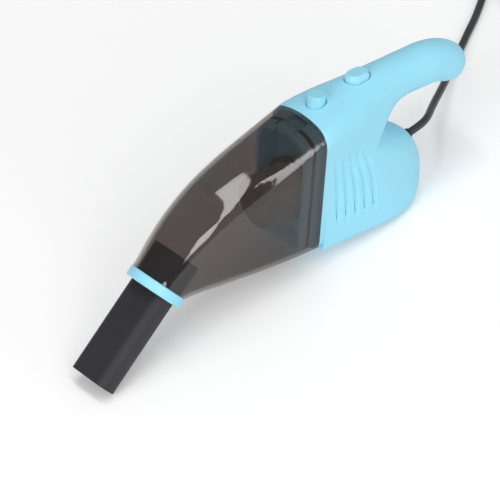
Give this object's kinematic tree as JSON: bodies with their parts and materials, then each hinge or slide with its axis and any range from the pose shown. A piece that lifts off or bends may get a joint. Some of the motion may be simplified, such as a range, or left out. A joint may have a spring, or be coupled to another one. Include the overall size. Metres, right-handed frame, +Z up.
{
  "type": "handheld vacuum cleaner",
  "caption": "Small corded handheld vacuum cleaner with a looped handle, a clear dust cup, a flat angled nozzle, a press switch and a release button.",
  "frame": {"origin": "middle of the small facet under the belly that rests on the table; the nozzle's lower edge rests on the same plane", "axes": "+X rearward from nozzle to cord, level; +Y to the machine's right side, seen from behind looking at the nozzle; +Z up from the table"},
  "size_m": [0.3281, 0.0992, 0.0688],
  "materials": {
    "blue_shell": "satin moulded ABS, sky blue",
    "blue_trim": "satin moulded plastic, sky blue",
    "smoke_clear": "glossy smoke-tinted clear plastic",
    "black_rubber": "matte black rubber",
    "filter_cloth": "pleated filter cloth",
    "black_plastic": "satin black plastic",
    "cord_jacket": "satin black flexible jacket",
    "steel_can": "bright zinc plate",
    "dark_steel": "dark laminated steel",
    "magnet": "dark ferrite",
    "brass_metal": "bright brass",
    "copper_wire": "enamelled copper",
    "green_board": "circuit board",
    "white_plastic": "satin white plastic",
    "red_wire": "red wire cover",
    "dark_wire": "black wire cover",
    "plug_steel": "plated steel"
  },
  "bodies": {
    "housing": {"housing_left": "blue_shell", "housing_right": "blue_shell", "housing_screws": "steel_can", "bulkhead": "blue_trim", "cup_gasket": "black_rubber", "release_latch": "blue_trim", "power_switch": "black_plastic", "switch_board": "green_board", "motor_can": "steel_can", "motor_magnets": "magnet", "motor_end_cap": "black_plastic", "motor_terminals": "brass_metal", "front_bushing": "brass_metal", "rear_bushing": "brass_metal", "fan_shroud": "black_plastic", "motor_mount": "black_rubber", "cord_gland": "black_rubber", "lead_supply": "red_wire", "lead_return": "dark_wire", "lead_switched": "red_wire", "cord_lead": "cord_jacket", "cord_coil": "cord_jacket", "cord_tail": "cord_jacket", "plug_overmold": "black_plastic", "plug_shell": "plug_steel", "plug_tongue": "black_plastic"},
    "fan_rotor": {"fan_impeller": "white_plastic", "motor_shaft": "plug_steel", "armature_core": "dark_steel", "armature_windings": "copper_wire", "commutator": "copper_wire"},
    "dust_cup": {"dust_cup": "smoke_clear", "nozzle_ring": "blue_trim"},
    "nozzle": {"nozzle": "black_rubber"},
    "filter": {"filter_frame": "black_plastic", "filter_cloth": "filter_cloth"},
    "release_button": {"release_button": "blue_trim"},
    "power_button": {"power_button": "blue_trim", "switch_plunger": "white_plastic"}
  },
  "joints": [
    {"name": "fan_spin", "type": "hinge", "parent": "housing", "child": "fan_rotor", "pos_m": [-0.04304, 0, 0.02804], "axis": [0.9847, 0, -0.1741], "continuous": true},
    {"name": "cup_slide", "type": "slide", "parent": "housing", "child": "dust_cup", "axis": [-0.9847, 0, 0.1741], "range_m": [0, 0.045]},
    {"name": "nozzle_pull", "type": "slide", "parent": "dust_cup", "child": "nozzle", "axis": [-0.8418, 0, -0.5398], "range_m": [0, 0.018]},
    {"name": "filter_pull", "type": "slide", "parent": "housing", "child": "filter", "axis": [-0.9847, 0, 0.1741], "range_m": [0, 0.012]},
    {"name": "release_press", "type": "slide", "parent": "housing", "child": "release_button", "axis": [-0.2424, 0, -0.9702], "range_m": [0, 0.0025], "stiffness_N_per_m": 600, "deforming": ["release_latch"]},
    {"name": "power_press", "type": "slide", "parent": "housing", "child": "power_button", "axis": [-0.1741, 0, -0.9847], "range_m": [0, 0.0015], "stiffness_N_per_m": 800}
  ]
}
